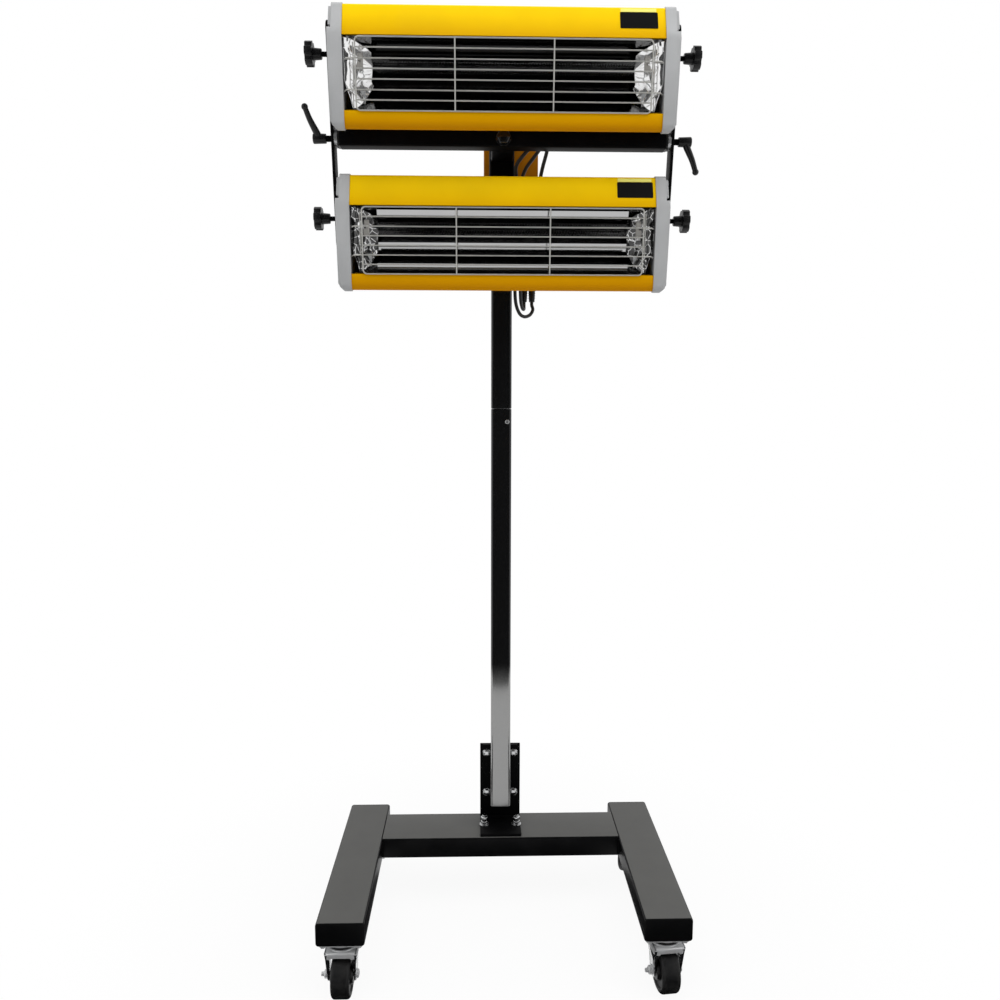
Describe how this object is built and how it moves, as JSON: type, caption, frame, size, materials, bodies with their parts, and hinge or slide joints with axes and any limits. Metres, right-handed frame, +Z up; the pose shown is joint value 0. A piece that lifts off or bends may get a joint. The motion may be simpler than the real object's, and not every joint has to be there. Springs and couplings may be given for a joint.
{
  "type": "infrared drying lamp",
  "caption": "Short-wave infrared drying lamp: tilting cassettes on a swinging yoke, on a mast with a control box and a wheeled stand.",
  "frame": {"origin": "on the floor, under the middle of the wheeled stand's footprint", "axes": "+Z up; the cassettes face -Y, the front; +X is to the right as seen from the front; the mast stands at +Y, behind the origin"},
  "size_m": [0.6672, 0.4358, 1.6202],
  "materials": {
    "black_steel": "gloss black powder coat",
    "yellow": "gloss yellow paint",
    "grey_cap": "satin silver-grey",
    "zinc": "bright zinc plate",
    "mirror": "polished",
    "quartz": "clear with a pale coating",
    "ceramic": "matt, unglazed",
    "wire": "bright",
    "black_plastic": "fine-grained",
    "gear": "plain",
    "red": "smooth",
    "tread": "smooth",
    "lead": "smooth, slightly glossy"
  },
  "bodies": {
    "stand": {"leg_left": "black_steel", "leg_right": "black_steel", "cross_tube": "black_steel", "leg_plugs": "black_plastic", "caster_plates": "zinc", "mast_bracket": "black_steel", "bracket_bolts": "zinc", "mast_lower": "black_steel", "mast_upper": "black_steel", "mast_joiner": "zinc", "mast_screws": "black_steel", "head_sleeve": "black_steel", "crossbeam": "black_steel", "beam_plugs": "black_steel", "king_bolt": "black_steel", "control_box": "yellow", "box_lid": "black_plastic", "control_gear": "gear", "cable_glands": "black_plastic", "lead_a_loop": "lead", "lead_b_loop": "lead"},
    "arms": {"arm_left": "black_steel", "arm_right": "black_steel", "arm_discs": "zinc", "lead_couplers": "black_plastic"},
    "upper_cassette": {"upper_housing": "yellow", "upper_caps": "grey_cap", "upper_reflector": "mirror", "upper_tube": "quartz", "upper_holders": "ceramic", "upper_grille": "wire", "upper_terminal": "black_plastic", "lead_a_top": "lead", "lead_b_top": "lead", "link_top": "lead"},
    "lower_cassette": {"lower_housing": "yellow", "lower_caps": "grey_cap", "lower_reflector": "mirror", "lower_tube": "quartz", "lower_holders": "ceramic", "lower_grille": "wire", "lower_terminal": "black_plastic", "link_loop": "lead"},
    "fork_front_left": {"fork_front_left": "zinc"},
    "fork_front_right": {"fork_front_right": "zinc"},
    "fork_rear_left": {"fork_rear_left": "zinc"},
    "fork_rear_right": {"fork_rear_right": "zinc"},
    "wheel_front_left": {"wheel_front_left": "tread"},
    "wheel_front_right": {"wheel_front_right": "tread"},
    "wheel_rear_left": {"wheel_rear_left": "tread"},
    "wheel_rear_right": {"wheel_rear_right": "tread"},
    "timer_knob": {"timer_knob": "black_plastic"},
    "rocker_upper": {"rocker_upper": "red"},
    "rocker_lower": {"rocker_lower": "red"},
    "clamp_lever_left": {"clamp_lever_left": "black_plastic"},
    "clamp_lever_right": {"clamp_lever_right": "black_plastic"},
    "upper_knob_left": {"upper_knob_left": "black_plastic"},
    "upper_knob_right": {"upper_knob_right": "black_plastic"},
    "lower_knob_left": {"lower_knob_left": "black_plastic"},
    "lower_knob_right": {"lower_knob_right": "black_plastic"}
  },
  "joints": [
    {"name": "arms_swing", "type": "hinge", "parent": "stand", "child": "arms", "pos_m": [0, 0.01, 1.424], "axis": [1, 0, 0], "range_deg": [-30, 2], "deforming": ["lead_a_loop", "lead_b_loop"]},
    {"name": "upper_tilt", "type": "hinge", "parent": "arms", "child": "upper_cassette", "pos_m": [0, -0.01333, 1.54986], "axis": [1, 0, 0], "range_deg": [-40, 2], "deforming": ["lead_a_top", "lead_b_top", "link_top"]},
    {"name": "lower_tilt", "type": "hinge", "parent": "arms", "child": "lower_cassette", "pos_m": [0, 0.03333, 1.29814], "axis": [1, 0, 0], "range_deg": [-30, 6], "deforming": ["link_loop"]},
    {"name": "clamp_lever_left_turn", "type": "hinge", "parent": "stand", "child": "clamp_lever_left", "pos_m": [-0.31, 0.01, 1.424], "axis": [-1, 0, 0], "continuous": true},
    {"name": "clamp_lever_right_turn", "type": "hinge", "parent": "stand", "child": "clamp_lever_right", "pos_m": [0.31, 0.01, 1.424], "axis": [1, 0, 0], "continuous": true},
    {"name": "upper_knob_left_turn", "type": "hinge", "parent": "upper_cassette", "child": "upper_knob_left", "pos_m": [-0.315, -0.01333, 1.54986], "axis": [-1, 0, 0], "continuous": true},
    {"name": "upper_knob_right_turn", "type": "hinge", "parent": "upper_cassette", "child": "upper_knob_right", "pos_m": [0.315, -0.01333, 1.54986], "axis": [1, 0, 0], "continuous": true},
    {"name": "lower_knob_left_turn", "type": "hinge", "parent": "lower_cassette", "child": "lower_knob_left", "pos_m": [-0.315, 0.03333, 1.29814], "axis": [-1, 0, 0], "continuous": true},
    {"name": "lower_knob_right_turn", "type": "hinge", "parent": "lower_cassette", "child": "lower_knob_right", "pos_m": [0.315, 0.03333, 1.29814], "axis": [1, 0, 0], "continuous": true},
    {"name": "caster_front_left_swivel", "type": "hinge", "parent": "stand", "child": "fork_front_left", "pos_m": [-0.27, -0.17, 0.088], "axis": [0, 0, 1], "continuous": true},
    {"name": "wheel_front_left_roll", "type": "hinge", "parent": "fork_front_left", "child": "wheel_front_left", "pos_m": [-0.27, -0.18, 0.0375], "axis": [1, 0, 0], "continuous": true},
    {"name": "caster_front_right_swivel", "type": "hinge", "parent": "stand", "child": "fork_front_right", "pos_m": [0.27, -0.17, 0.088], "axis": [0, 0, 1], "continuous": true},
    {"name": "wheel_front_right_roll", "type": "hinge", "parent": "fork_front_right", "child": "wheel_front_right", "pos_m": [0.27105, -0.17995, 0.0375], "axis": [0.9945, 0.1045, 0], "continuous": true},
    {"name": "caster_rear_left_swivel", "type": "hinge", "parent": "stand", "child": "fork_rear_left", "pos_m": [-0.27, 0.17, 0.088], "axis": [0, 0, 1], "continuous": true},
    {"name": "wheel_rear_left_roll", "type": "hinge", "parent": "fork_rear_left", "child": "wheel_rear_left", "pos_m": [-0.27, 0.18, 0.0375], "axis": [-1, 0, 0], "continuous": true},
    {"name": "caster_rear_right_swivel", "type": "hinge", "parent": "stand", "child": "fork_rear_right", "pos_m": [0.27, 0.17, 0.088], "axis": [0, 0, 1], "continuous": true},
    {"name": "wheel_rear_right_roll", "type": "hinge", "parent": "fork_rear_right", "child": "wheel_rear_right", "pos_m": [0.27423, 0.17906, 0.0375], "axis": [-0.9063, 0.4226, 0], "continuous": true},
    {"name": "timer_turn", "type": "hinge", "parent": "stand", "child": "timer_knob", "pos_m": [0.018, 0.1905, 1.4102], "axis": [0, -1, 0], "range_deg": [0, 330]},
    {"name": "upper_switch_rock", "type": "hinge", "parent": "stand", "child": "rocker_upper", "pos_m": [0.018, 0.1875, 1.3361], "axis": [-1, 0, 0], "range_deg": [0, 10]},
    {"name": "lower_switch_rock", "type": "hinge", "parent": "stand", "child": "rocker_lower", "pos_m": [0.018, 0.1875, 1.2962], "axis": [-1, 0, 0], "range_deg": [0, 10]}
  ]
}
